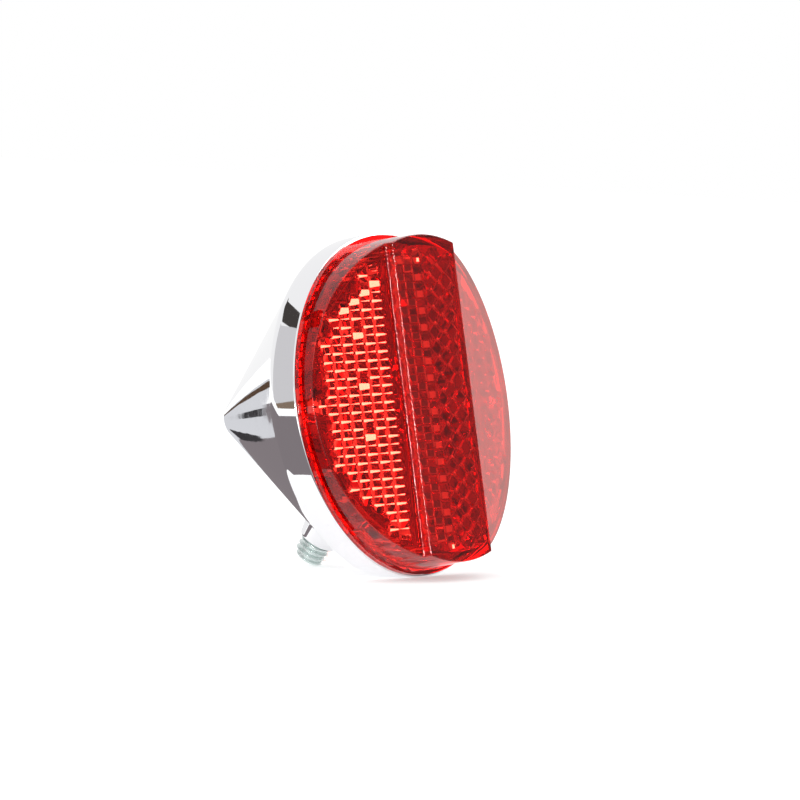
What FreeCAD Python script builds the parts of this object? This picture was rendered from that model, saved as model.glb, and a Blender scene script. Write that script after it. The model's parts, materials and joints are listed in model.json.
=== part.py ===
import FreeCAD, Part
import math
import os

import Sketcher

# Round rear reflector for a bicycle mudguard: a red prism lens on a chromed conical housing,
# held by one bolt that leaves the underside of the cone.
# Lens and housing are drawn on their common axis, which points out of the lens, with y up.
# The finished part faces -Y, stands +Z up and has its origin where the bolt meets the boss end.

doc = FreeCAD.newDocument("reflector")

SIZES = {
    # lens
    "flange_inset": 0.4,
    "flange_thick": 0.7,
    "flange_lip": 0.85,
    "wall_thick": 2.15,
    "wall_draft": 2.3,
    "lens_height": 9.1,
    "band_half_width": 9.1,
    "band_step": 1.6,
    "panel_slope": 13.5,
    "skin_thick": 1.6,
    "step_web": 0.7,
    "spigot_depth": 2.0,
    "spigot_fit": 0.15,
    # prisms on the back of the lens
    "prism_pitch": 2.95,
    "prism_root": 0.3,
    "prism_margin": 0.4,
    "half_seam": 0.1,
    # housing
    "rim_radius": 30.4,
    "rim_wall": 1.6,
    "rim_depth": 5.0,
    "cone_depth": 32.3,
    "cone_rise": 2.4,
    "cone_wall": 1.8,
    "mouth_step": 1.5,
    "tip_wall": 2.9,
    "tip_radius": 2.6,
    "tip_round": 2.2,
    "shoulder_round": 3.0,
    # bolt and the boss that carries it
    "bolt_station": 18.2,
    "boss_height": 4.4,
    "boss_end_radius": 3.6,
    "boss_root_radius": 4.2,
    "pad_radius": 6.6,
    "pad_height": 3.6,
    "pad_start": 1.35,
    "bolt_radius": 3.0,
    "shank_radius": 2.8,
    "bolt_length": 12.0,
    "bolt_fit": 0.1,
    "bolt_tip_bevel": 0.6,
    "head_flats": 10.0,
    "head_height": 4.0,
}

sheet = doc.addObject("Spreadsheet::Sheet", "sizes")
for row, (alias, number) in enumerate(SIZES.items(), start=1):
    sheet.set(f"A{row}", alias)
    sheet.set(f"B{row}", str(number))
    sheet.setAlias(f"B{row}", alias)
doc.recompute()


def size(expression):
    """The number that an expression of sheet sizes stands for."""
    return float(sheet.evalExpression(expression))


def origin_plane(body, role):
    """One of a body's own origin planes."""
    return next(f for f in body.Origin.OriginFeatures if f.Role == role)


def new_sketch(body, name, role, lift="0"):
    """An empty sketch on an origin plane of the body, lifted off it by an expression."""
    sketch = body.newObject("Sketcher::SketchObject", name)
    sketch.AttachmentSupport = [(origin_plane(body, role), "")]
    sketch.MapMode = "FlatFace"
    if lift != "0":
        sketch.setExpression("AttachmentOffset.Base.z", lift)
    return sketch


def hold(sketch, geometry, point, axis, expression):
    """Ties one coordinate of a point to an expression."""
    if expression == "0":
        other_axis = -2 if axis == "X" else -1
        sketch.addConstraint(Sketcher.Constraint("PointOnObject", geometry, point, other_axis))
        return
    rule = Sketcher.Constraint(f"Distance{axis}", -1, 1, geometry, point, size(expression))
    index = sketch.addConstraint(rule)
    sketch.setExpression(f"Constraints[{index}]", expression)


def add_outline(sketch, corners):
    """A closed outline of straight lines, with each corner tied to a pair of expressions."""
    points = [FreeCAD.Vector(size(x), size(y), 0) for x, y in corners]
    first = sketch.GeometryCount
    count = len(points)
    for k in range(count):
        sketch.addGeometry(Part.LineSegment(points[k], points[(k + 1) % count]), False)
    for k in range(count):
        following = first + (k + 1) % count
        sketch.addConstraint(Sketcher.Constraint("Coincident", first + k, 2, following, 1))
    for k, (x, y) in enumerate(corners):
        hold(sketch, first + k, 1, "X", x)
        hold(sketch, first + k, 1, "Y", y)


def add_circle(sketch, radius):
    """A circle about the sketch's origin."""
    circle = Part.Circle(FreeCAD.Vector(0, 0, 0), FreeCAD.Vector(0, 0, 1), size(radius))
    index = sketch.addGeometry(circle, False)
    hold(sketch, index, 3, "X", "0")
    hold(sketch, index, 3, "Y", "0")
    rule = sketch.addConstraint(Sketcher.Constraint("Radius", index, size(radius)))
    sketch.setExpression(f"Constraints[{rule}]", radius)


def edges_between(feature, first, second):
    """Names of the feature's edges where faces of these two kinds meet."""
    names = []
    for index, edge in enumerate(feature.Shape.Edges, start=1):
        faces = feature.Shape.ancestorsOfType(edge, Part.Face)
        if {type(face.Surface).__name__ for face in faces} == {first, second}:
            names.append(f"Edge{index}")
    return names


def round_edges(body, name, base, first, second, radius):
    """Rounds the edges of base where faces of these two kinds meet."""
    rounding = body.newObject("PartDesign::Fillet", name)
    rounding.Base = (base, edges_between(base, first, second))
    rounding.setExpression("Radius", radius)
    doc.recompute()
    return rounding


def turn_away(body, name, sketch):
    """Cuts away what a section sweeps in a full turn about its sketch's upright axis."""
    groove = body.newObject("PartDesign::Groove", name)
    groove.Profile = sketch
    groove.ReferenceAxis = (sketch, ["V_Axis"])
    groove.Angle = 360
    doc.recompute()
    return groove


def place(item, back, up, turn):
    """Places a piece in the finished part: its distances from the bolt's seat and its turn about X."""
    item.setExpression("Placement.Base.y", back)
    item.setExpression("Placement.Base.z", up)
    item.Placement.Rotation = FreeCAD.Rotation(FreeCAD.Vector(1, 0, 0), 0)
    item.setExpression("Placement.Rotation.Axis.x", "1")
    item.setExpression("Placement.Rotation.Axis.y", "0")
    item.setExpression("Placement.Rotation.Axis.z", "0")
    item.setExpression("Placement.Rotation.Angle", turn)


# The cone's lowest line runs from the rim's foot to the tip's foot. The bolt stands square on it.
LINE_RISE = "(sizes.rim_radius + sizes.cone_rise - sizes.tip_radius)"
LINE_LENGTH = f"sqrt({LINE_RISE} ^ 2 + sizes.cone_depth ^ 2)"
LINE_TURN = f"atan({LINE_RISE} / sizes.cone_depth)"
SEAT_UP = (
    f"(-sizes.rim_radius + (sizes.bolt_station * {LINE_RISE}"
    f" - sizes.boss_height * sizes.cone_depth) / {LINE_LENGTH})"
)
SEAT_OUT = (
    f"(-sizes.rim_depth - (sizes.bolt_station * sizes.cone_depth"
    f" + sizes.boss_height * {LINE_RISE}) / {LINE_LENGTH})"
)
HEAD_SEAT = "(sizes.boss_height + sizes.pad_height)"

# The cone is round about an axis that leans up towards its tip.
HIGH_TURN = "atan((sizes.rim_radius - sizes.cone_rise - sizes.tip_radius) / sizes.cone_depth)"
CONE_HALF = f"(({LINE_TURN} + {HIGH_TURN}) / 2)"
CONE_LEAN = f"(({LINE_TURN} - {HIGH_TURN}) / 2)"
CONE_TAPER = "(sizes.rim_radius / (sizes.rim_radius - sizes.tip_radius))"
APEX_DEPTH = f"(sizes.cone_depth * {CONE_TAPER})"
APEX_RISE = f"(sizes.cone_rise * {CONE_TAPER})"
MOUTH_RADIUS = "(sizes.rim_radius - sizes.rim_wall)"

# Radii of the lens and heights of its faces above the flange's back.
FLANGE_RADIUS = "(sizes.rim_radius - sizes.flange_inset)"
WALL_RADIUS = f"({FLANGE_RADIUS} - sizes.flange_lip)"
SIDE_TOP = "(sizes.lens_height - sizes.band_step)"
SKIN_DROP = "(sizes.skin_thick / cos(sizes.panel_slope))"
BAND_BACK = "(sizes.lens_height - sizes.skin_thick)"
WEB_INSIDE = "(sizes.band_half_width - sizes.step_web)"
WALL_INSIDE = f"({WALL_RADIUS} - sizes.wall_thick)"
WALL_MIDDLE = f"({WALL_RADIUS} - sizes.wall_thick / 2)"
SPIGOT_RADIUS = f"({MOUTH_RADIUS} - sizes.spigot_fit)"


def side_front(across):
    """Height of a side panel's front face at a distance from the middle."""
    return f"({SIDE_TOP} - ({across} - sizes.band_half_width) * tan(sizes.panel_slope))"


def make_lens_blank():
    """The lens without its prisms: a drafted wall and a thin front of three panels."""
    body = doc.addObject("PartDesign::Body", "lens_blank")
    right = [
        ("sizes.band_half_width", "sizes.lens_height"),
        ("sizes.band_half_width", SIDE_TOP),
        (WALL_MIDDLE, side_front(WALL_MIDDLE)),
        (WALL_MIDDLE, f"{side_front(WALL_MIDDLE)} - {SKIN_DROP}"),
        (WEB_INSIDE, f"{side_front(WEB_INSIDE)} - {SKIN_DROP}"),
        (WEB_INSIDE, BAND_BACK),
    ]
    left = [(f"-{x}", z) for x, z in right[::-1]]
    skin_sketch = new_sketch(body, "skin_section", "XZ_Plane")
    add_outline(skin_sketch, right + left)
    skin = body.newObject("PartDesign::Pad", "skin")
    skin.Profile = skin_sketch
    skin.SideType = "Symmetric"
    skin.setExpression("Length", f"2 * {WALL_MIDDLE}")
    doc.recompute()

    # The flat panels are trimmed round, so that they end inside the wall.
    outside = f"2 * {FLANGE_RADIUS}"
    trim_sketch = new_sketch(body, "trim_section", "XZ_Plane")
    add_outline(
        trim_sketch,
        [
            (WALL_MIDDLE, f"-{FLANGE_RADIUS}"),
            (outside, f"-{FLANGE_RADIUS}"),
            (outside, FLANGE_RADIUS),
            (WALL_MIDDLE, FLANGE_RADIUS),
        ],
    )
    turn_away(body, "round_trim", trim_sketch)

    wall_rise = "(sizes.lens_height - sizes.flange_thick)"
    wall_top = f"{WALL_RADIUS} - {wall_rise} * tan(sizes.wall_draft)"
    wall_sketch = new_sketch(body, "wall_section", "XZ_Plane")
    add_outline(
        wall_sketch,
        [
            (WALL_INSIDE, "-sizes.spigot_depth"),
            (SPIGOT_RADIUS, "-sizes.spigot_depth"),
            (SPIGOT_RADIUS, "0"),
            (FLANGE_RADIUS, "0"),
            (FLANGE_RADIUS, "sizes.flange_thick"),
            (WALL_RADIUS, "sizes.flange_thick"),
            (wall_top, "sizes.lens_height"),
            (WALL_INSIDE, "sizes.lens_height"),
        ],
    )
    wall = body.newObject("PartDesign::Revolution", "wall")
    wall.Profile = wall_sketch
    wall.ReferenceAxis = (wall_sketch, ["V_Axis"])
    wall.Angle = 360
    doc.recompute()

    # Beside the raised band the wall ends flush with the sloping panels.
    crown_sketch = new_sketch(body, "crown_section", "XZ_Plane")
    above = "2 * sizes.lens_height"
    crown = [
        ("sizes.band_half_width", SIDE_TOP),
        (outside, side_front(outside)),
        (outside, above),
        ("sizes.band_half_width", above),
    ]
    add_outline(crown_sketch, crown)
    add_outline(crown_sketch, [(f"-{x}", z) for x, z in crown])
    before = wall.Shape.Volume
    cut = body.newObject("PartDesign::Pocket", "crown")
    cut.Profile = crown_sketch
    cut.SideType = "Symmetric"
    cut.setExpression("Length", f"4 * {FLANGE_RADIUS}")
    doc.recompute()
    if cut.Shape.Volume >= before:
        raise RuntimeError("the crown cut took nothing off the lens")
    return body


def prism_cells(inside, columns_from, columns_to):
    """Centres of hexagon columns, every other column half a pitch lower, that inside accepts."""
    pitch = size("sizes.prism_pitch")
    column_step = pitch * math.sqrt(3) / 2
    rows = int(size(WALL_RADIUS) / pitch) + 1
    cells = []
    for column in range(columns_from, columns_to):
        across = (column + 0.5) * column_step
        shift = pitch / 2 if column % 2 else 0.0
        for step in range(-rows, rows + 1):
            upward = step * pitch + shift
            if inside(across, upward):
                cells.append((across, upward))
    return cells


def prism_solid(cells, first_edge):
    """A field of cube corners: each hexagon carries three square faces that meet in its middle.

    The field is closed by upright walls round its edge and a flat cap inside the lens's skin.
    first_edge is 0 or 1 and says which of a hexagon's corners the ridges run to.
    """
    pitch = size("sizes.prism_pitch")
    root = size("sizes.prism_root")
    side = pitch / math.sqrt(3)
    third = pitch / math.sqrt(6)
    cap = size("sizes.skin_thick") / 2
    loose_edges = {}
    faces = []

    def corner(cell, k):
        angle = math.radians(60 * k)
        height = -root - (third if k % 2 == first_edge else 0.0)
        x = cell[0] + side * math.cos(angle)
        y = cell[1] + side * math.sin(angle)
        return FreeCAD.Vector(round(x, 6), round(y, 6), height)

    def spot(point):
        return (round(point.x, 3), round(point.y, 3))

    def polygon_face(points):
        return Part.Face(Part.makePolygon(points + points[:1]))

    for cell in cells:
        middle = FreeCAD.Vector(cell[0], cell[1], -root - 2 * third)
        ring = [corner(cell, k) for k in range(6)]
        for k in range(first_edge, first_edge + 6, 2):
            faces.append(polygon_face([middle, ring[k % 6], ring[(k + 1) % 6], ring[(k + 2) % 6]]))
        for k in range(6):
            start = ring[k]
            end = ring[(k + 1) % 6]
            key = frozenset((spot(start), spot(end)))
            if key in loose_edges:
                del loose_edges[key]
            else:
                loose_edges[key] = (start, end)

    following = {}
    for start, end in loose_edges.values():
        lifted = [FreeCAD.Vector(p.x, p.y, cap) for p in (end, start)]
        faces.append(polygon_face([start, end] + lifted))
        following[spot(start)] = (end, lifted[1])
    key = next(iter(following))
    border = []
    while key in following:
        end, lifted = following.pop(key)
        border.append(lifted)
        key = spot(end)
    faces.append(polygon_face(border))
    solid = Part.makeSolid(Part.makeShell(faces))
    if solid.Volume < 0:
        solid.reverse()
    return solid


def add_field(name, solid, across, height, turn=0.0):
    """A prism field as a document object, moved across and up and turned about the upright axis."""
    field = doc.addObject("Part::Feature", name)
    field.Shape = solid
    rotation = FreeCAD.Rotation(FreeCAD.Vector(0, 1, 0), turn)
    field.Placement = FreeCAD.Placement(FreeCAD.Vector(across, 0, height), rotation)
    return field


def make_prism_fields():
    """Four prism fields: two halves under the raised band and one under each side panel."""
    side = size("sizes.prism_pitch") / math.sqrt(3)
    column_step = 1.5 * side
    overhang = side - column_step / 2
    margin = size("sizes.prism_margin")
    seam = size("sizes.half_seam")
    # A cell belongs to a field where most of it is inside the wall, and the wall takes in the rest of it.
    reach = size(WALL_INSIDE) - side / 2

    def on_band(across, upward):
        return math.hypot(across, upward) < reach

    half_columns = int((size(WEB_INSIDE) - seam - overhang) / column_step)
    left_half = prism_solid(prism_cells(on_band, -half_columns, 0), 0)
    right_half = prism_solid(prism_cells(on_band, 0, half_columns), 1)
    band_back = size(BAND_BACK)

    # A side field starts beside the band's step and runs down the slope of its panel.
    slope = size("sizes.panel_slope")
    run = math.cos(math.radians(slope))
    start = size("sizes.band_half_width") + margin + overhang * run
    start_height = size(f"{side_front('sizes.band_half_width')} - {SKIN_DROP}")
    start_height -= (start - size("sizes.band_half_width")) * math.tan(math.radians(slope))

    def on_side(across, upward):
        return math.hypot(start + across * run, upward) < reach

    right_panel = prism_solid(prism_cells(on_side, 0, int(reach / column_step) + 1), 1)
    left_panel = right_panel.mirror(FreeCAD.Vector(0, 0, 0), FreeCAD.Vector(1, 0, 0))
    return [
        add_field("band_prisms_left", left_half, -seam, band_back),
        add_field("band_prisms_right", right_half, seam, band_back),
        add_field("side_prisms_left", left_panel, -start, start_height, -slope),
        add_field("side_prisms_right", right_panel, start, start_height, slope),
    ]


def make_lens():
    """The red lens: the moulded blank with its prisms on the back."""
    lens = doc.addObject("Part::MultiFuse", "lens")
    lens.Shapes = [make_lens_blank()] + make_prism_fields()
    lens.Refine = False
    place(lens, SEAT_OUT, f"-1 * {SEAT_UP}", "90")
    return lens


def cone_sketch(body, name, corners):
    """A section in the upright middle plane, measured from the cone's apex along its leaning axis."""
    sketch = new_sketch(body, name, "YZ_Plane")
    sketch.setExpression("AttachmentOffset.Base.x", APEX_RISE)
    sketch.setExpression("AttachmentOffset.Base.y", f"-sizes.rim_depth - {APEX_DEPTH}")
    sketch.setExpression("AttachmentOffset.Rotation.Angle", CONE_LEAN)
    add_outline(sketch, corners)
    return sketch


def along_bolt(feature, distance):
    """Stands a round feature of the housing on the bolt's axis, this far in from the boss end."""
    up = f"{SEAT_UP} + ({distance}) * sizes.cone_depth / {LINE_LENGTH}"
    out = f"{SEAT_OUT} + ({distance}) * {LINE_RISE} / {LINE_LENGTH}"
    place(feature, up, out, f"{LINE_TURN} - 90 deg")


def make_housing():
    """The chromed shell: a round rim, a cone with a blunt tip, and a boss for the bolt."""
    body = doc.addObject("PartDesign::Body", "housing")
    rim_sketch = new_sketch(body, "rim_outline", "XY_Plane")
    add_circle(rim_sketch, "sizes.rim_radius")
    rim = body.newObject("PartDesign::Pad", "rim")
    rim.Profile = rim_sketch
    rim.setExpression("Length", f"sizes.rim_depth + {APEX_DEPTH}")
    rim.Reversed = True
    doc.recompute()

    # The round bar is cut down to a cone with a flat tip, and then its shoulder and tip are rounded.
    opening = f"tan({CONE_HALF})"
    tip_station = f"(sizes.tip_radius / {opening})"
    outside = "2 * sizes.rim_radius"
    cone_outside = [
        ("0", tip_station),
        ("sizes.tip_radius", tip_station),
        (outside, f"{outside} / {opening}"),
        (outside, "-sizes.rim_radius"),
        ("0", "-sizes.rim_radius"),
    ]
    cone = turn_away(body, "cone", cone_sketch(body, "cone_outside", cone_outside))
    shoulder = round_edges(body, "shoulder", cone, "Cone", "Cylinder", "sizes.shoulder_round")
    round_edges(body, "blunt_tip", shoulder, "Cone", "Plane", "sizes.tip_round")

    # The hollow keeps one wall thickness along the cone and stops short of the mouth's own radius.
    wall_along = f"sizes.cone_wall / sin({CONE_HALF})"
    hollow_start = f"({tip_station} + sizes.tip_wall)"
    hollow_radius = f"({MOUTH_RADIUS} - sizes.mouth_step)"
    hollow_end = f"({APEX_DEPTH} + sizes.rim_depth / 2)"
    cone_inside = [
        ("0", hollow_start),
        (f"({hollow_start} - {wall_along}) * {opening}", hollow_start),
        (hollow_radius, f"{hollow_radius} / {opening} + {wall_along}"),
        (hollow_radius, hollow_end),
        ("0", hollow_end),
    ]
    turn_away(body, "hollow", cone_sketch(body, "cone_inside", cone_inside))
    mouth_sketch = new_sketch(body, "mouth_outline", "XY_Plane")
    add_circle(mouth_sketch, MOUTH_RADIUS)
    mouth = body.newObject("PartDesign::Pocket", "mouth")
    mouth.Profile = mouth_sketch
    mouth.setExpression("Length", "sizes.rim_depth")
    doc.recompute()

    # A boss outside carries the bolt, and a round pad inside gives its head a flat seat.
    pad = body.newObject("PartDesign::AdditiveCylinder", "head_pad")
    pad.setExpression("Radius", "sizes.pad_radius")
    pad.setExpression("Height", "sizes.pad_height - sizes.pad_start")
    along_bolt(pad, "sizes.boss_height + sizes.pad_start")
    boss = body.newObject("PartDesign::AdditiveCone", "boss")
    boss.setExpression("Radius1", "sizes.boss_end_radius")
    boss.setExpression("Radius2", "sizes.boss_root_radius")
    boss.setExpression("Height", "sizes.boss_height + sizes.cone_wall")
    along_bolt(boss, "0")
    doc.recompute()
    before = boss.Shape.Volume
    bore = body.newObject("PartDesign::SubtractiveCylinder", "bolt_bore")
    bore.setExpression("Radius", "sizes.bolt_radius + sizes.bolt_fit")
    bore.setExpression("Height", HEAD_SEAT)
    along_bolt(bore, "0")
    doc.recompute()
    if bore.Shape.Volume >= before:
        raise RuntimeError("the bolt bore took nothing off the boss")
    place(body, SEAT_OUT, f"-1 * {SEAT_UP}", "90")
    return body


def make_bolt():
    """The hexagon bolt: its head is inside the housing and its threaded end stands out of the boss."""
    body = doc.addObject("PartDesign::Body", "bolt")
    head_sketch = new_sketch(body, "head_outline", "XY_Plane", HEAD_SEAT)
    corner_radius = "sizes.head_flats / sqrt(3)"
    add_outline(
        head_sketch,
        [(f"{corner_radius} * cos({60 * k})", f"{corner_radius} * sin({60 * k})") for k in range(6)],
    )
    head = body.newObject("PartDesign::Pad", "head")
    head.Profile = head_sketch
    head.setExpression("Length", "sizes.head_height")
    doc.recompute()
    shank_sketch = new_sketch(body, "shank_section", "XZ_Plane")
    end = f"({HEAD_SEAT} - sizes.bolt_length)"
    add_outline(
        shank_sketch,
        [
            ("0", end),
            ("sizes.bolt_radius - sizes.bolt_tip_bevel", end),
            ("sizes.bolt_radius", f"{end} + sizes.bolt_tip_bevel"),
            ("sizes.bolt_radius", "0"),
            ("sizes.shank_radius", "0"),
            ("sizes.shank_radius", HEAD_SEAT),
            ("0", HEAD_SEAT),
        ],
    )
    shank = body.newObject("PartDesign::Revolution", "shank")
    shank.Profile = shank_sketch
    shank.ReferenceAxis = (shank_sketch, ["V_Axis"])
    shank.Angle = 360
    place(body, "0", "0", LINE_TURN)
    return body


def main():
    pieces = [make_lens(), make_housing(), make_bolt()]
    doc.recompute()
    for item in doc.Objects:
        if "Invalid" in item.State or "Error" in item.State:
            raise RuntimeError(f"{item.Label} failed: {item.State}")
    os.makedirs("parts", exist_ok=True)
    for piece in pieces:
        shape = piece.Shape
        if shape.isNull() or not shape.isValid():
            raise RuntimeError(f"{piece.Label} has no valid shape")
        shape.exportStep(os.path.join("parts", f"{piece.Label}.step"))
        print(piece.Label, len(shape.Solids), "solid", len(shape.Faces), "faces", round(shape.Volume), "mm3")


main()
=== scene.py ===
import json
import math

import bmesh
import bpy
from bpy.props import FloatProperty, FloatVectorProperty, IntProperty, PointerProperty
from mathutils import Matrix, Vector


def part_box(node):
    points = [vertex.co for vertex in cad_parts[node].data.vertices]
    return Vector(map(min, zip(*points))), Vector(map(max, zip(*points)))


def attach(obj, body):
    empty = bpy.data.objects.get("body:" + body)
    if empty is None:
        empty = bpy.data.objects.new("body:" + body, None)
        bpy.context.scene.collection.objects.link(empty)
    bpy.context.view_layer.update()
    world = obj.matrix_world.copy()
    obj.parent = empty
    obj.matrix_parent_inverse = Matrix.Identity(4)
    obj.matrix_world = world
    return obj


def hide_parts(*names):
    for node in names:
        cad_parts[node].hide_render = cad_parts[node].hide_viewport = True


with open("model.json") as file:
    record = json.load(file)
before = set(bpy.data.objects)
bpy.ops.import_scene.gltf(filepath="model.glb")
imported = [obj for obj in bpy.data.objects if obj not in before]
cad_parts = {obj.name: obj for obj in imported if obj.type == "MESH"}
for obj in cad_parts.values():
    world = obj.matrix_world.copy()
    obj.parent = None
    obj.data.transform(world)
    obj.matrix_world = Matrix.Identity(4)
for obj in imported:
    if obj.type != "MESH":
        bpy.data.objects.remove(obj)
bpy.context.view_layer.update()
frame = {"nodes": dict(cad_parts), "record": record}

bl_info = {
    "name": "Round rear reflector",
    "version": (1, 0, 0),
    "blender": (4, 5, 0),
    "location": "View3D > Sidebar > Reflector",
    "description": "Dresses a round bicycle reflector with its prism lens, chromed shell and threaded bolt",
    "category": "Object",
}

MM = 0.001
LENS_LOW, LENS_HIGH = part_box("lens")
# The lens's axis runs along Y at this height, and the flange's back lies on the housing's front edge.
AXIS_HEIGHT = (LENS_LOW.z + LENS_HIGH.z) / 2
FLANGE_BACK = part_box("housing")[0].y
LENS_MIDDLE = Vector((0, FLANGE_BACK, AXIS_HEIGHT))
# The bolt leaves the boss at the origin.
BOLT_OUT = Vector(frame["record"]["mounts"][0]["axis"])
# The lens's material slot for the flats, and the bevel's value for the slot of the faces beside it.
FLATS = 1
AS_BESIDE = -1
# Vertices closer than this are one.
WELD = 0.001 * MM
# Edges blunter than this are shaded smooth.
SMOOTH_ANGLE = math.radians(35)


def linear(code):
    """The linear colour of an sRGB hex value."""
    channels = [int(code[k : k + 2], 16) / 255 for k in (1, 3, 5)]
    return [c / 12.92 if c <= 0.04045 else ((c + 0.055) / 1.055) ** 2.4 for c in channels]


def length(name, default, description):
    """A length property, given in millimetres."""
    return FloatProperty(
        name=name, description=description, default=default * MM, unit="LENGTH", precision=5
    )


def colour(name, code, description):
    """A colour property, given as an sRGB hex value."""
    return FloatVectorProperty(
        name=name, description=description, default=linear(code), size=3, subtype="COLOR", min=0, max=1
    )


class ReflectorSizes(bpy.types.PropertyGroup):
    """Sizes of the reflector's pieces."""

    prism_round: length("Band prism rounding", 0.3, "Width of the rounding along the band's prism edges")
    panel_round: length("Panel prism rounding", 0.15, "Width of the rounding along the panels' prism edges")
    land_width: length("Ridge flat", 0.36, "Width of the flats along the panels' level ridges")
    groove_width: length("Groove flat", 0.13, "Width of the flats along the panels' level grooves")
    edge_round: length("Lens edge rounding", 0.22, "Width of the rounding along the lens's outer edges")
    rim_radius: length("Rim radius", 30.4, "Outside radius of the housing's rim")
    rim_depth: length("Rim depth", 5.0, "Depth of the rim before the cone starts")
    rim_edge: length("Rim edge rounding", 0.25, "Rounding of the rim's front edge")
    flange_gap: length("Flange gap", 0.04, "Film of air between the lens's flange and the rim")
    cone_depth: length("Cone depth", 32.3, "Depth of the cone from the rim to its tip")
    cone_rise: length("Cone rise", 2.4, "How far the cone's tip is above the lens's axis")
    tip_radius: length("Tip radius", 2.6, "Radius of the cone's flat tip before rounding")
    tip_round: length("Tip rounding", 2.2, "Rounding round the cone's tip")
    shoulder_round: length("Shoulder rounding", 3.0, "Rounding between the rim and the cone")
    shell_wall: length("Shell wall", 1.6, "Thickness of the housing's wall")
    boss_height: length("Boss height", 4.4, "Height of the boss above the cone")
    boss_end_radius: length("Boss end radius", 3.6, "Radius of the boss at its end")
    boss_root_radius: length("Boss root radius", 4.2, "Radius of the boss at its root")
    pad_radius: length("Pad radius", 6.6, "Radius of the pad under the bolt's head")
    pad_start: length("Pad start", 1.35, "Depth in the wall at which the pad starts")
    pad_height: length("Pad height", 3.6, "Height of the pad's seat above the cone's line")
    thread_radius: length("Thread radius", 3.0, "Outside radius of the thread")
    thread_pitch: length("Thread pitch", 1.0, "Distance between the thread's turns")
    thread_reach: length("Thread reach", 4.0, "Length of thread outside the boss")
    shank_radius: length("Shank radius", 2.8, "Radius of the bolt's plain shank")
    head_flats: length("Head width", 10.0, "Width of the bolt's head across its flats")
    head_height: length("Head height", 4.0, "Height of the bolt's head")
    sides: IntProperty(name="Sides", description="Sides of the round pieces", default=192, min=24)


class ReflectorColours(bpy.types.PropertyGroup):
    """Colours of the reflector's materials."""

    acrylic: colour("Red acrylic", "#EA241B", "Clear red acrylic of the lens")
    chrome: colour("Chrome", "#EDEDEF", "Chrome plating of the housing")
    inside: colour("Housing inside", "#D6D4D6", "Thin plating inside the housing")
    zinc: colour("Zinc plating", "#D5DEDC", "Zinc plating of the bolt")
    floor: colour("Floor", "#F2F2F2", "Pale floor")


def sizes():
    return bpy.context.scene.reflector_sizes


def colours():
    return bpy.context.scene.reflector_colours


def add_node(tree, kind, links=(), **settings):
    """Adds a node. Settings with the name of an input set its value, the others set the node itself."""
    node = tree.nodes.new(kind)
    for name, value in settings.items():
        if hasattr(node, name):
            setattr(node, name, value)
        else:
            node.inputs[name.replace("_", " ")].default_value = value
    for output, socket in links:
        tree.links.new(output, node.inputs[socket])
    return node


def new_material(name):
    """A material and its node tree, which is empty."""
    material = bpy.data.materials.new(name)
    material.use_nodes = True
    material.node_tree.nodes.clear()
    return material, material.node_tree


def add_noise(tree, feature_mm, detail, coordinates):
    """Noise whose features are about this many millimetres wide."""
    return add_node(
        tree,
        "ShaderNodeTexNoise",
        [(coordinates.outputs["Object"], "Vector")],
        Scale=1 / (feature_mm * MM),
        Detail=detail,
    )


def add_bump(tree, noise, strength, height_mm):
    """Fine relief that follows a noise."""
    height = [(noise.outputs["Fac"], "Height")]
    return add_node(tree, "ShaderNodeBump", height, Strength=strength, Distance=height_mm * MM)


def add_roughness(tree, noise, span, roughness):
    """Roughness that goes from one value to the other over a span of a noise."""
    return add_node(
        tree,
        "ShaderNodeMapRange",
        [(noise.outputs["Fac"], "Value")],
        From_Min=span[0],
        From_Max=span[1],
        To_Min=roughness[0],
        To_Max=roughness[1],
    )


def add_surface(tree, links=(), **settings):
    """Adds a material's shader and its output."""
    shader = add_node(tree, "ShaderNodeBsdfPrincipled", links, **settings)
    add_node(tree, "ShaderNodeOutputMaterial", [(shader.outputs["BSDF"], "Surface")])


def red_acrylic():
    """Clear red acrylic, injection moulded in a polished tool: glassy, with a faint ripple of the flow."""
    material, tree = new_material("red_acrylic")
    place = add_node(tree, "ShaderNodeTexCoord")
    ripple = add_noise(tree, 7.0, 1.0, place)
    bump = add_bump(tree, ripple, 0.06, 0.05)
    add_surface(
        tree,
        [(bump.outputs["Normal"], "Normal")],
        Base_Color=(*colours().acrylic, 1),
        Roughness=0.015,
        IOR=1.49,
        Transmission_Weight=1.0,
    )
    return material


def mirror_land():
    """Mirror finish of the prisms' flats, which show as rows of bright dashes and a few bright cells."""
    material, tree = new_material("mirror_land")
    add_surface(tree, Base_Color=(*linear("#F4F2EE"), 1), Metallic=1.0, Roughness=0.02)
    return material


def chrome_plate():
    """Bright chrome plate on moulded plastic: a mirror that wavers a little with the moulding under it."""
    material, tree = new_material("chrome_plate")
    place = add_node(tree, "ShaderNodeTexCoord")
    waver = add_noise(tree, 9.0, 2.0, place)
    bump = add_bump(tree, waver, 0.1, 0.12)
    haze = add_noise(tree, 2.5, 3.0, place)
    rough = add_roughness(tree, haze, (0.35, 0.75), (0.02, 0.06))
    add_surface(
        tree,
        [(bump.outputs["Normal"], "Normal"), (rough.outputs["Result"], "Roughness")],
        Base_Color=(*colours().chrome, 1),
        Metallic=1.0,
    )
    return material


def thin_plate():
    """Thin plating inside the housing: greyer than the outside, with a fine grain."""
    material, tree = new_material("thin_plate")
    place = add_node(tree, "ShaderNodeTexCoord")
    grain = add_noise(tree, 0.4, 2.0, place)
    bump = add_bump(tree, grain, 0.1, 0.02)
    add_surface(
        tree,
        [(bump.outputs["Normal"], "Normal")],
        Base_Color=(*colours().inside, 1),
        Metallic=1.0,
        Roughness=0.03,
    )
    return material


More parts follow.
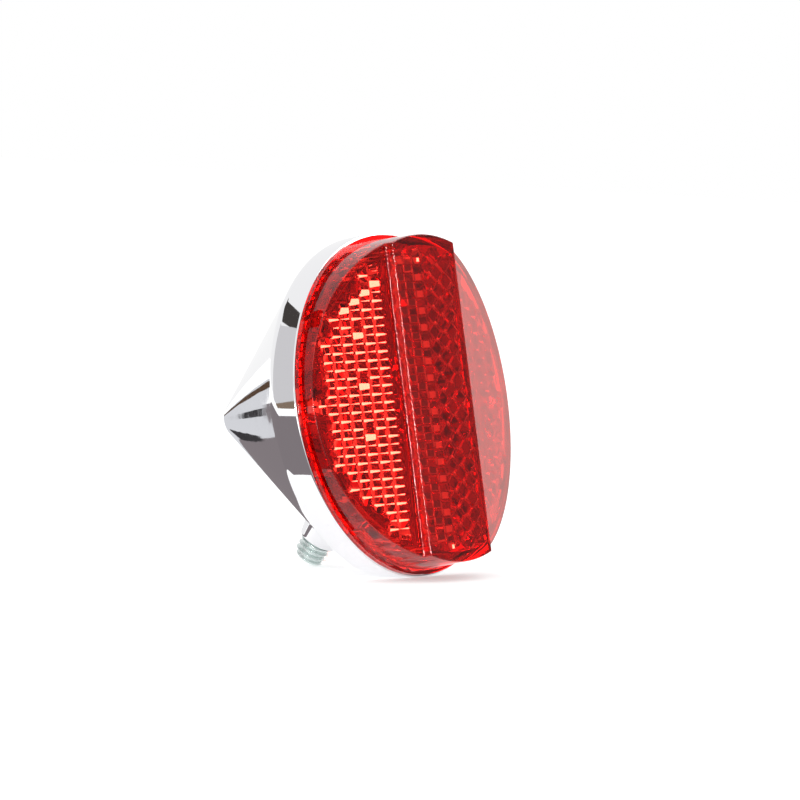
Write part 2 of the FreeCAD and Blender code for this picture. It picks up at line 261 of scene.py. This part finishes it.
def zinc_plate():
    """Zinc-plated steel, rolled thread: bright and slightly cloudy, with a cold tint."""
    material, tree = new_material("zinc_plate")
    place = add_node(tree, "ShaderNodeTexCoord")
    cloud = add_noise(tree, 0.8, 3.0, place)
    rough = add_roughness(tree, cloud, (0.3, 0.7), (0.2, 0.38))
    bump = add_bump(tree, cloud, 0.15, 0.03)
    add_surface(
        tree,
        [(bump.outputs["Normal"], "Normal"), (rough.outputs["Result"], "Roughness")],
        Base_Color=(*colours().zinc, 1),
        Metallic=1.0,
    )
    return material


def deselect():
    """Leaves edit mode and selects nothing."""
    if bpy.context.object and bpy.context.object.mode != "OBJECT":
        bpy.ops.object.mode_set(mode="OBJECT")
    bpy.ops.object.select_all(action="DESELECT")


def activate(piece):
    """Makes a piece the only selected object."""
    deselect()
    piece.select_set(True)
    bpy.context.view_layer.objects.active = piece


def context_piece(name):
    """The object that was just added, renamed."""
    piece = bpy.context.object
    piece.name = name
    return piece


def edit(piece, mode):
    """Opens a piece in edit mode with nothing selected and returns its mesh."""
    activate(piece)
    bpy.ops.object.mode_set(mode="EDIT")
    bpy.ops.mesh.select_mode(type=mode)
    bpy.ops.mesh.select_all(action="DESELECT")
    return bmesh.from_edit_mesh(piece.data)


def show(piece, mesh):
    """Takes over a selection made in code."""
    mesh.select_flush_mode()
    bmesh.update_edit_mesh(piece.data)


def smooth(piece, angle=SMOOTH_ANGLE):
    """Shades a piece smooth, apart from its sharp edges."""
    activate(piece)
    bpy.ops.object.shade_smooth_by_angle(angle=angle)


def apply_modifier(piece, kind, **settings):
    """Adds a modifier to a piece and applies it."""
    activate(piece)
    modifier = piece.modifiers.new(kind.lower(), kind)
    for name, value in settings.items():
        setattr(modifier, name, value)
    bpy.ops.object.modifier_apply(modifier=modifier.name)


def clean_mesh(piece):
    """Merges doubles and turns all faces outwards."""
    edit(piece, "VERT")
    bpy.ops.mesh.select_all(action="SELECT")
    bpy.ops.mesh.remove_doubles(threshold=WELD)
    bpy.ops.mesh.normals_make_consistent(inside=False)
    bpy.ops.object.mode_set(mode="OBJECT")


def finish_piece(piece, node):
    """Gives a piece its place in the reflector."""
    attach(piece, "root")
    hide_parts(node)


def lens_place(point):
    """A point's distance across, up and out in front of the flange's back, in millimetres."""
    return point.x / MM, (point.z - AXIS_HEIGHT) / MM, (FLANGE_BACK - point.y) / MM


def ring_chain(name, rings, closed):
    """Adds each ring (centre, radius, axis) as a circle and bridges it to the one before."""
    sides = sizes().sides
    deselect()
    for k, (centre, radius, axis) in enumerate(rings):
        turn = (math.atan2(-axis.y, axis.z), 0, 0)
        bpy.ops.mesh.primitive_circle_add(vertices=sides, radius=radius, location=centre, rotation=turn)
        if k == 0:
            piece = context_piece(name)
            bpy.ops.object.transform_apply(location=True, rotation=True, scale=True)
            bpy.ops.object.mode_set(mode="EDIT")
            bpy.ops.mesh.select_mode(type="VERT")
    pairs = list(range(len(rings) - 1))
    if closed:
        pairs.append(-1)
    for k in pairs:
        bpy.ops.mesh.select_all(action="DESELECT")
        mesh = bmesh.from_edit_mesh(piece.data)
        mesh.verts.ensure_lookup_table()
        for ring in (k % len(rings), (k + 1) % len(rings)):
            for vertex in mesh.verts[ring * sides : (ring + 1) * sides]:
                vertex.select = True
        show(piece, mesh)
        bpy.ops.mesh.bridge_edge_loops()
    bpy.ops.object.mode_set(mode="OBJECT")
    return piece


def arc(start, corner, end, radius, steps):
    """Points of a rounding of this radius at a corner between two straight runs."""
    into = (corner - start).normalized()
    out = (end - corner).normalized()
    turn = into.angle_signed(out)
    reach = radius * math.tan(abs(turn) / 2)
    first = corner - into * reach
    side = Vector((into.y, -into.x)) if turn > 0 else Vector((-into.y, into.x))
    centre = first + side * radius
    points = []
    for k in range(steps + 1):
        spoke = first - centre
        spoke.rotate(Matrix.Rotation(-turn * k / steps, 2))
        points.append(centre + spoke)
    return points


class REFLECTOR_OT_lens(bpy.types.Operator):
    """Rounds the edges of the prism lens and cuts the small flats on its prisms"""

    bl_idname = "reflector.lens"
    bl_label = "Prism lens"

    # The CAD mesh is welded at this distance, and its faces are joined where they bend less than this.
    cad_weld = 0.02 * MM
    cad_bend = math.radians(0.4)
    # Edges are bevelled where they are sharper than this, and are level where they rise by less than this.
    sharp_angle = math.radians(25)
    level_slope = 0.1

    # Places on the lens in millimetres, as lens_place gives them.
    prism_reach = 26.9
    band_reach = 9.4
    band_inside = 8.5
    band_back = 7.5
    panel_start = 9.1
    panel_front = 7.5
    panel_skin = 1.6
    panel_slope = math.radians(13.5)
    # Prism edges are behind the back of the thin front by this much, and front edges before it.
    behind_skin = 0.1
    before_skin = 0.8

    # Cells with a deeper and wider flat: four near the field's upper edge and three inside the panel.
    bright_cells = (
        (-10.45, 21.46),
        (-12.92, 19.97),
        (-15.38, 18.46),
        (-17.86, 16.98),
        (-15.61, 12.71),
        (-15.61, 3.86),
        (-15.61, -4.99),
    )
    cell_radius = 1.25
    bright_depth = 0.35 * MM

    # The level ridges of the left panel face this way, and their flats are turned from it.
    flat_azimuth = math.atan2(7, 8) + math.radians(4)
    turned_cosine = 0.99995
    least_perimeter = 3 * MM
    # A corner slides by no more than these shares of its edge.
    least_slide, most_slide = -0.4, 0.6

    def execute(self, context):
        s = sizes()
        source = frame["nodes"]["lens"]
        lens = bpy.data.objects.new("lens_moulding", source.data.copy())
        context.scene.collection.objects.link(lens)
        lens.data.materials.clear()
        lens.data.materials.append(red_acrylic())
        lens.data.materials.append(mirror_land())
        edit(lens, "EDGE")
        bpy.ops.mesh.select_all(action="SELECT")
        bpy.ops.mesh.remove_doubles(threshold=self.cad_weld)
        bpy.ops.mesh.dissolve_limited(angle_limit=self.cad_bend)
        self.bevel_edges(lens, self.is_level_ridge, s.land_width, 1, FLATS)
        self.turn_flats(lens)
        self.bevel_edges(lens, self.is_level_groove, s.groove_width, 1, FLATS)
        self.turn_flats(lens)
        self.bevel_edges(lens, self.is_panel_edge, s.panel_round, 2, AS_BESIDE)
        self.bevel_edges(lens, self.is_band_edge, s.prism_round, 2, AS_BESIDE)
        self.bevel_edges(lens, self.is_front_edge, s.edge_round, 2, AS_BESIDE)
        self.sharpen_flats(lens)
        bpy.ops.object.mode_set(mode="OBJECT")
        smooth(lens)
        apply_modifier(lens, "WEIGHTED_NORMAL", keep_sharp=True)
        finish_piece(lens, "lens")
        return {"FINISHED"}

    def skin_back(self, across):
        """Height of the back of the lens's thin front at a distance from its middle, in millimetres."""
        if abs(across) < self.band_inside:
            return self.band_back
        drop = (abs(across) - self.panel_start) * math.tan(self.panel_slope)
        return self.panel_front - drop - self.panel_skin / math.cos(self.panel_slope)

    def is_prism_edge(self, edge):
        spots = [lens_place(vertex.co) for vertex in edge.verts]
        inside = all(math.hypot(x, y) < self.prism_reach for x, y, _ in spots)
        return inside and all(z < self.skin_back(x) - self.behind_skin for x, _, z in spots)

    def is_band_edge(self, edge):
        on_band = all(abs(vertex.co.x) < self.band_reach * MM for vertex in edge.verts)
        return on_band and self.is_prism_edge(edge)

    def is_panel_edge(self, edge):
        beside_flat = any(face.material_index == FLATS for face in edge.link_faces)
        return not beside_flat and not self.is_band_edge(edge) and self.is_prism_edge(edge)

    def is_level(self, edge):
        run = edge.verts[1].co - edge.verts[0].co
        return abs(run.z) < self.level_slope * run.length and self.is_panel_edge(edge)

    def is_level_ridge(self, edge):
        return edge.is_convex and self.is_level(edge)

    def is_level_groove(self, edge):
        return not edge.is_convex and self.is_level(edge)

    def is_front_edge(self, edge):
        spots = [lens_place(vertex.co) for vertex in edge.verts]
        return all(z > self.skin_back(x) + self.before_skin for x, _, z in spots)

    def bevel_edges(self, lens, wanted, width, segments, material):
        """Bevels the sharp edges that are wanted, into a flat with one segment or a rounding with more."""
        bpy.ops.mesh.select_all(action="DESELECT")
        mesh = bmesh.from_edit_mesh(lens.data)
        for edge in mesh.edges:
            sharp = len(edge.link_faces) == 2 and edge.calc_face_angle(0) > self.sharp_angle
            edge.select_set(sharp and wanted(edge))
        bmesh.update_edit_mesh(lens.data)
        bpy.ops.mesh.bevel(
            offset=width,
            offset_type="WIDTH",
            segments=segments,
            affect="EDGES",
            clamp_overlap=False,
            material=material,
        )

    def is_long_flat(self, face):
        is_flat = face.material_index == FLATS and len(face.verts) == 4
        return is_flat and face.calc_perimeter() > self.least_perimeter

    def extra_depth(self, centre):
        """How much deeper a flat is cut in a bright cell than elsewhere."""
        x, y, _ = lens_place(centre)
        near = any(math.hypot(x - across, y - up) < self.cell_radius for across, up in self.bright_cells)
        return self.bright_depth if near else 0.0

    def turn_flats(self, lens):
        """Turns the long flats that aren't turned yet about the vertical, on the right as on the left."""
        mesh = bmesh.from_edit_mesh(lens.data)
        mesh.normal_update()
        for face in filter(self.is_long_flat, mesh.faces):
            centre = face.calc_center_median()
            side = 1 if centre.x < 0 else -1
            facing = Vector((side * math.cos(self.flat_azimuth), math.sin(self.flat_azimuth), 0))
            if abs(face.normal.dot(facing)) > self.turned_cosine:
                continue
            centre -= face.normal * self.extra_depth(centre)
            for vertex in face.verts:
                self.slide_corner(vertex, face, centre, facing)
        mesh.normal_update()
        bmesh.update_edit_mesh(lens.data)

    def slide_corner(self, vertex, face, centre, facing):
        """Slides a flat's corner along the prism's own edge to the plane that the flat is to lie in."""
        outer = [edge for edge in vertex.link_edges if face not in edge.link_faces]
        run = max(outer, key=lambda edge: edge.calc_length()).other_vert(vertex).co - vertex.co
        step = (centre - vertex.co).dot(facing) / run.dot(facing)
        vertex.co += run * max(self.least_slide, min(self.most_slide, step))

    def sharpen_flats(self, lens):
        """Keeps the flats and the faces beside them flat."""
        bpy.ops.mesh.select_mode(type="FACE")
        bpy.ops.mesh.select_all(action="DESELECT")
        mesh = bmesh.from_edit_mesh(lens.data)
        for face in mesh.faces:
            face.select = face.material_index == FLATS
        show(lens, mesh)
        bpy.ops.mesh.mark_sharp()


class REFLECTOR_OT_housing(bpy.types.Operator):
    """Draws the chromed shell ring by ring, from its rim to its blunt tip, and its boss"""

    bl_idname = "reflector.housing"
    bl_label = "Chromed housing"

    def execute(self, context):
        chrome = chrome_plate()
        inside = thin_plate()
        shell = ring_chain("housing_shell", self.shell_rings(), False)
        mesh = edit(shell, "VERT")
        mesh.verts.ensure_lookup_table()
        for vertex in mesh.verts[-sizes().sides :]:
            vertex.select = True
        show(shell, mesh)
        bpy.ops.mesh.edge_face_add()
        clean_mesh(shell)
        shell.data.materials.append(chrome)
        shell.data.materials.append(inside)
        apply_modifier(shell, "SOLIDIFY", thickness=sizes().shell_wall, offset=-1, material_offset=1)
        smooth(shell)
        finish_piece(shell, "housing")

        boss = ring_chain("housing_boss", self.boss_rings(), True)
        clean_mesh(boss)
        smooth(boss)
        boss.data.materials.append(chrome)
        finish_piece(boss, "housing")
        return {"FINISHED"}

    def side_profile(self, rise):
        """The shell's outline on one side, as (height from the axis, depth), for a cone that rises so far."""
        s = sizes()
        rim_front = Vector((s.rim_radius - s.shell_wall, s.flange_gap))
        rim_edge = Vector((s.rim_radius, s.flange_gap))
        foot = Vector((s.rim_radius, s.rim_depth))
        tip = Vector((s.tip_radius + rise, s.rim_depth + s.cone_depth))
        middle = Vector((rise, s.rim_depth + s.cone_depth))
        points = [rim_front] + arc(rim_front, rim_edge, foot, s.rim_edge, steps=5)
        points += arc(rim_edge, foot, tip, s.shoulder_round, steps=14)
        # A ring close to each rounding keeps the cone's shading straight.
        points.append(points[-1].lerp(tip, 0.02))
        rounding = arc(foot, tip, middle, s.tip_round, steps=16)
        points.append(points[-1].lerp(rounding[0], 0.97))
        return points + rounding[:-2]

    def shell_rings(self):
        rise = sizes().cone_rise
        rings = []
        for high, low in zip(self.side_profile(rise), self.side_profile(-rise)):
            top = Vector((0, FLANGE_BACK + high.y, AXIS_HEIGHT + high.x))
            bottom = Vector((0, FLANGE_BACK + low.y, AXIS_HEIGHT - low.x))
            across = top - bottom
            axis = Vector((1, 0, 0)).cross(across).normalized()
            rings.append(((top + bottom) / 2, across.length / 2, axis))
        return rings

    def boss_rings(self):
        s = sizes()
        bore = s.thread_radius + 0.1 * MM
        # Radius and depth from the boss's end: a rounded end, the tapered side and the pad inside.
        outline = [
            (bore, 0.3 * MM),
            (bore + 0.15 * MM, 0.06 * MM),
            (bore + 0.3 * MM, 0),
            (s.boss_end_radius - 0.15 * MM, 0.01 * MM),
            (s.boss_end_radius - 0.04 * MM, 0.06 * MM),
            (s.boss_end_radius, 0.2 * MM),
            (s.boss_end_radius + 0.02 * MM, 0.4 * MM),
            (s.boss_root_radius - 0.05 * MM, s.boss_height - 0.6 * MM),
            (s.boss_root_radius, s.boss_height + s.pad_start),
            (s.pad_radius, s.boss_height + s.pad_start),
            (s.pad_radius, s.boss_height + s.pad_height),
            (bore, s.boss_height + s.pad_height),
        ]
        return [(BOLT_OUT * -inward, radius, BOLT_OUT) for radius, inward in outline]


class REFLECTOR_OT_bolt(bpy.types.Operator):
    """Winds the bolt's thread and adds its shank and hexagon head"""

    bl_idname = "reflector.bolt"
    bl_label = "Threaded bolt"

    smooth_angle = math.radians(28)
    head_bevel = 0.5 * MM
    head_angle = math.radians(40)
    # The thread's depth in pitches, the bevel at its end and its length inside the boss.
    thread_depth = 0.6
    end_bevel = 0.7 * MM
    hidden_thread = 0.5 * MM
    # Turns that are wound, and how many of them start before the boss's end.
    turns = 7
    turns_before = 1.6
    turn_steps = 64

    def execute(self, context):
        thread = self.wind_thread()
        s = sizes()
        seat = s.boss_height + s.pad_height
        shank = ring_chain("bolt_shank", self.shank_rings(seat), False)
        deselect()
        bpy.ops.mesh.primitive_cylinder_add(
            vertices=6,
            radius=s.head_flats / math.sqrt(3),
            depth=s.head_height,
            location=(0, 0, -seat - s.head_height / 2),
        )
        head = context.object
        bpy.ops.object.transform_apply(location=True, rotation=True, scale=True)
        apply_modifier(
            head, "BEVEL", width=self.head_bevel, segments=3, limit_method="ANGLE", angle_limit=self.head_angle
        )
        activate(head)
        thread.select_set(True)
        shank.select_set(True)
        bpy.context.view_layer.objects.active = thread
        # The shank's rings are in their place, and the others are turned from +Z to the bolt's axis.
        turn = BOLT_OUT.to_track_quat("Z", "X").to_matrix().to_4x4()
        for piece in (thread, head):
            piece.data.transform(turn)
        bpy.ops.object.join()
        bolt = context_piece("bolt_threaded")
        smooth(bolt, self.smooth_angle)
        bolt.data.materials.append(zinc_plate())
        finish_piece(bolt, "bolt")
        return {"FINISHED"}

    def wind_thread(self):
        """The thread along +Z, from inside the boss to its bevelled end."""
        s = sizes()
        pitch = s.thread_pitch
        crest = s.thread_radius
        root = crest - self.thread_depth * pitch
        start = -self.turns_before * pitch
        # Radius and share of the pitch, from one root to the next.
        profile = [
            (root, 0.0),
            (root + 0.02 * MM, 0.14),
            (crest - 0.03 * MM, 0.45),
            (crest, 0.5),
            (crest - 0.03 * MM, 0.55),
            (root + 0.02 * MM, 0.86),
            (root, 1.0),
        ]
        deselect()
        bpy.ops.mesh.primitive_circle_add(vertices=len(profile), radius=pitch)
        thread = context_piece("bolt_thread")
        mesh = edit(thread, "VERT")
        mesh.verts.ensure_lookup_table()
        for vertex, (radius, share) in zip(mesh.verts, profile):
            vertex.co = (radius, 0, start + share * pitch)
        closing = [e for e in mesh.edges if {v.index for v in e.verts} == {0, len(profile) - 1}]
        closing[0].select_set(True)
        bmesh.update_edit_mesh(thread.data)
        bpy.ops.mesh.select_mode(type="EDGE")
        bpy.ops.mesh.delete(type="EDGE")
        bpy.ops.object.mode_set(mode="OBJECT")
        apply_modifier(
            thread,
            "SCREW",
            axis="Z",
            screw_offset=pitch,
            iterations=self.turns,
            steps=self.turn_steps,
            render_steps=self.turn_steps,
            use_merge_vertices=True,
            merge_threshold=WELD,
        )
        clean_mesh(thread)
        edit(thread, "VERT")
        for height, facing in ((s.thread_reach, 1), (-self.hidden_thread, -1)):
            bpy.ops.mesh.select_all(action="SELECT")
            bpy.ops.mesh.bisect(
                plane_co=(0, 0, height),
                plane_no=(0, 0, facing),
                use_fill=True,
                clear_outer=True,
                threshold=1e-7,
            )
        mesh = bmesh.from_edit_mesh(thread.data)
        bevel_start = s.thread_reach - self.end_bevel
        for vertex in mesh.verts:
            most = crest - max(0.0, vertex.co.z - bevel_start)
            radius = math.hypot(vertex.co.x, vertex.co.y)
            if radius > most:
                vertex.co.x *= most / radius
                vertex.co.y *= most / radius
        bmesh.update_edit_mesh(thread.data)
        bpy.ops.object.mode_set(mode="OBJECT")
        return thread

    def shank_rings(self, seat):
        s = sizes()
        outline = [
            (s.shank_radius - 0.5 * MM, 0.1 * MM),
            (s.shank_radius, 0.4 * MM),
            (s.shank_radius, seat),
        ]
        return [(BOLT_OUT * -inward, radius, BOLT_OUT) for radius, inward in outline]


class REFLECTOR_OT_stage(bpy.types.Operator):
    """Sets up the floor, the studio light and the camera"""

    bl_idname = "reflector.stage"
    bl_label = "Studio"

    # The reflector rests on the rim's foot and the bolt's end, so the floor rises towards its back.
    floor_point = Vector((0, -21.3, -9.22)) * MM
    floor_normal = Vector((0, -0.2045, 0.979)).normalized()
    floor_size = 6.0
    floor_glow = 0.4

    # A grey ring lies on the floor's plane round a hole whose middle is behind the floor's point. Only mirrors
    # and the lens see it, so the floor looks grey in them beyond the hole while the camera sees it white.
    ring_outer_radius = 0.3
    ring_hole_radius = 0.048
    ring_hole_offset = Vector((0, 11, 2.3)) * MM
    ring_lift = 0.1 * MM
    # Sheets lie on the floor's plane over the grey ring along this line, one layer above the other.
    sheet_line = Vector((0.485, 0.875, 0.1828)).normalized()
    layer_mm = 0.2
    corner_share = 0.4
    widest_corner_mm = 50

    # The camera that fits the photograph. Its shift is in pixels of the photograph.
    camera_right = Vector((0.5858, -0.8010, -0.1234))
    camera_up = Vector((0.0216, -0.1367, 0.9904))
    camera_look = Vector((0.8102, 0.5828, 0.0628))
    camera_distance = 1.0
    focal_length = 257.1
    sensor_width = 36
    picture_width = 800
    shift_pixels = (-0.61, 4.77)

    def execute(self, context):
        self.add_floor()
        self.add_cards()
        self.add_world(context)
        self.add_camera(context)
        context.scene.view_settings.view_transform = "Standard"
        # Light turns back and forth between the prisms, so its paths are longer than in other scenes.
        context.scene.cycles.max_bounces = 32
        context.scene.cycles.glossy_bounces = 24
        context.scene.cycles.transmission_bounces = 32
        # The flats shine brighter than white, and a clamp would take their paleness away.
        context.scene.cycles.sample_clamp_indirect = 0
        return {"FINISHED"}

    def floor_turn(self):
        return self.floor_normal.to_track_quat("Z", "Y").to_euler()

    def add_floor(self):
        """A pale floor that shows from above only and glows a little, but not on matt surfaces."""
        deselect()
        bpy.ops.mesh.primitive_plane_add(
            size=self.floor_size, location=self.floor_point, rotation=self.floor_turn()
        )
        floor = context_piece("floor")
        material, tree = new_material("pale_floor")
        light_path = add_node(tree, "ShaderNodeLightPath")
        side = add_node(tree, "ShaderNodeNewGeometry")
        matt = add_node(tree, "ShaderNodeBsdfDiffuse", Color=(*colours().floor, 1))
        glow = add_node(tree, "ShaderNodeEmission", Color=(1, 1, 1, 1), Strength=self.floor_glow)
        both = add_node(
            tree, "ShaderNodeAddShader", [(matt.outputs["BSDF"], 0), (glow.outputs["Emission"], 1)]
        )
        seen = add_node(
            tree,
            "ShaderNodeMixShader",
            [
                (light_path.outputs["Is Diffuse Ray"], "Fac"),
                (both.outputs["Shader"], 1),
                (matt.outputs["BSDF"], 2),
            ],
        )
        clear = add_node(tree, "ShaderNodeBsdfTransparent")
        one_sided = add_node(
            tree,
            "ShaderNodeMixShader",
            [
                (side.outputs["Backfacing"], "Fac"),
                (seen.outputs["Shader"], 1),
                (clear.outputs["BSDF"], 2),
            ],
        )
        add_node(tree, "ShaderNodeOutputMaterial", [(one_sided.outputs["Shader"], "Surface")])
        floor.data.materials.append(material)

    def finish_card(self, card, code, strength):
        """Makes a plain glowing card of a piece, which only mirrors and the lens see."""
        material, tree = new_material(card.name)
        glow = add_node(tree, "ShaderNodeEmission", Color=(*linear(code), 1), Strength=strength)
        add_node(tree, "ShaderNodeOutputMaterial", [(glow.outputs["Emission"], "Surface")])
        card.data.materials.append(material)
        for kind in ("camera", "diffuse", "shadow"):
            setattr(card, f"visible_{kind}", False)

    def add_card(self, name, code, strength, azimuths, elevations, distance=0.9):
        """An upright card that spans these directions from the lens, in degrees."""
        deselect()
        turn = math.radians(sum(azimuths) / 2)
        low, high = (math.tan(math.radians(angle)) for angle in elevations)
        outward = Vector((math.cos(turn), math.sin(turn), (low + high) / 2)) * distance
        bpy.ops.mesh.primitive_plane_add(
            size=1,
            location=LENS_MIDDLE + outward,
            rotation=(math.radians(90), 0, turn + math.radians(90)),
        )
        card = context_piece(name)
        width = 2 * math.tan(math.radians(azimuths[1] - azimuths[0]) / 2)
        card.scale = (width * distance, (high - low) * distance, 1)
        self.finish_card(card, code, strength)

    def add_sheet(self, name, code, away, aside, layer):
        """A sheet on the floor's plane over a span along the sheets' line and a span beside it, in
        millimetres.
        """
        deselect()
        along = away[1] - away[0]
        beside = aside[1] - aside[0]
        turn = Matrix((self.sheet_line, self.floor_normal.cross(self.sheet_line), self.floor_normal))
        turn.transpose()
        under_origin = self.floor_normal * self.floor_point.dot(self.floor_normal)
        middle = turn @ Vector((sum(away) / 2, sum(aside) / 2, layer * self.layer_mm)) * MM
        bpy.ops.mesh.primitive_plane_add(size=1, location=under_origin + middle, rotation=turn.to_euler())
        sheet = context_piece(name)
        sheet.scale = (along * MM, beside * MM, 1)
        bpy.ops.object.transform_apply(location=False, rotation=False, scale=True)
        edit(sheet, "VERT")
        bpy.ops.mesh.select_all(action="SELECT")
        corner = self.corner_share * min(along, beside, self.widest_corner_mm) * MM
        bpy.ops.mesh.bevel(offset=corner, segments=6, affect="VERTICES")
        bpy.ops.object.mode_set(mode="OBJECT")
        self.finish_card(sheet, code, 1.0)

    def add_grey_ring(self):
        """A grey ring on the floor's plane round the hole where the reflector lies. Only mirrors and the lens
        see it, so the floor looks grey in them.
        """
        deselect()
        middle = self.floor_point + self.floor_normal * self.ring_lift + self.ring_hole_offset
        bpy.ops.mesh.primitive_circle_add(
            vertices=96,
            radius=self.ring_outer_radius,
            fill_type="NGON",
            location=middle,
            rotation=self.floor_turn(),
        )
        # This piece is the grey ring, whose grey shows only in mirrors and the lens.
        table = context_piece("grey_floor_ring")
        edit(table, "FACE")
        bpy.ops.mesh.select_all(action="SELECT")
        bpy.ops.mesh.inset(thickness=self.ring_outer_radius - self.ring_hole_radius)
        bpy.ops.mesh.delete(type="FACE")
        bpy.ops.object.mode_set(mode="OBJECT")
        self.finish_card(table, "#867E81", 1.0)

    def add_cards(self):
        """The room that the chrome and the lens mirror. The prisms' flats look to the glint card."""
        self.add_card("dark_front_card", "#807C7E", 1.0, (-74, -28), (-12, 7.5))
        self.add_card("bright_side_card", "#FFC4C0", 2.6, (-17, 8), (-25, 35))
        self.add_card("camera_side_card", "#8A8486", 1.0, (-144.3, -129), (2, 20))
        self.add_card("camera_lamp_card", "#FFFFFF", 3.5, (-158, -132), (-10, -1))
        self.add_card("left_card", "#FFFFFF", 1.6, (-194, -174), (2, 16))
        self.add_card("glint_card", "#FFFFFF", 55, (-171.5, -155), (1, 5.9), 2.9)
        self.add_card("top_card", "#FFFFFF", 4.5, (-52, -22), (8.5, 36))
        self.add_card("grey_back_card", "#D7D6D8", 1.0, (112, 164), (8, 47))
        self.add_card("brown_back_card", "#8A7767", 1.0, (130, 160), (3, 8))
        self.add_card("dark_back_card", "#45413F", 1.0, (92, 146), (47, 54))
        self.add_grey_ring()
        self.add_sheet("pale_sheet", "#DCDDE1", (112, 720), (-300, 19), 1)
        self.add_sheet("near_blot", "#3C3A3C", (108, 128), (-1, 13), 2)
        self.add_sheet("far_blot", "#3C3A3C", (205, 262), (13.5, 18.5), 2)
        self.add_sheet("brown_sheet", "#5A4638", (480, 640), (-90, 30), 2)

    def add_world(self, context):
        world = bpy.data.worlds.new("studio")
        context.scene.world = world
        world.use_nodes = True
        tree = world.node_tree
        tree.nodes.clear()
        glow = add_node(tree, "ShaderNodeBackground", Color=(1, 1, 1, 1), Strength=1.0)
        add_node(tree, "ShaderNodeOutputWorld", [(glow.outputs["Background"], "Surface")])

    def add_camera(self, context):
        data = bpy.data.cameras.new("camera")
        data.sensor_width = self.sensor_width
        data.lens = self.focal_length
        data.shift_x, data.shift_y = (shift / self.picture_width for shift in self.shift_pixels)
        data.clip_start = 0.05
        data.clip_end = 20
        camera = bpy.data.objects.new("camera", data)
        context.scene.collection.objects.link(camera)
        turn = Matrix((self.camera_right, self.camera_up, -self.camera_look)).transposed().to_4x4()
        place = Matrix.Translation(LENS_MIDDLE - self.camera_look * self.camera_distance)
        camera.matrix_world = place @ turn
        context.scene.camera = camera


class REFLECTOR_PT_panel(bpy.types.Panel):
    """Lists the reflector's steps, sizes and colours"""

    bl_idname = "REFLECTOR_PT_panel"
    bl_label = "Rear reflector"
    bl_space_type = "VIEW_3D"
    bl_region_type = "UI"
    bl_category = "Reflector"

    def draw(self, context):
        for operator in STEPS:
            self.layout.operator(operator.bl_idname)
        for group in (context.scene.reflector_sizes, context.scene.reflector_colours):
            box = self.layout.box()
            for name in group.__annotations__:
                box.prop(group, name)


STEPS = (REFLECTOR_OT_lens, REFLECTOR_OT_housing, REFLECTOR_OT_bolt, REFLECTOR_OT_stage)
CLASSES = (ReflectorSizes, ReflectorColours, *STEPS, REFLECTOR_PT_panel)


def register():
    for item in CLASSES:
        bpy.utils.register_class(item)
    bpy.types.Scene.reflector_sizes = PointerProperty(type=ReflectorSizes)
    bpy.types.Scene.reflector_colours = PointerProperty(type=ReflectorColours)


def unregister():
    del bpy.types.Scene.reflector_colours
    del bpy.types.Scene.reflector_sizes
    for item in reversed(CLASSES):
        bpy.utils.unregister_class(item)


def main():
    register()
    bpy.ops.reflector.lens()
    bpy.ops.reflector.housing()
    bpy.ops.reflector.bolt()
    bpy.ops.reflector.stage()


if __name__ == "__main__":
    main()
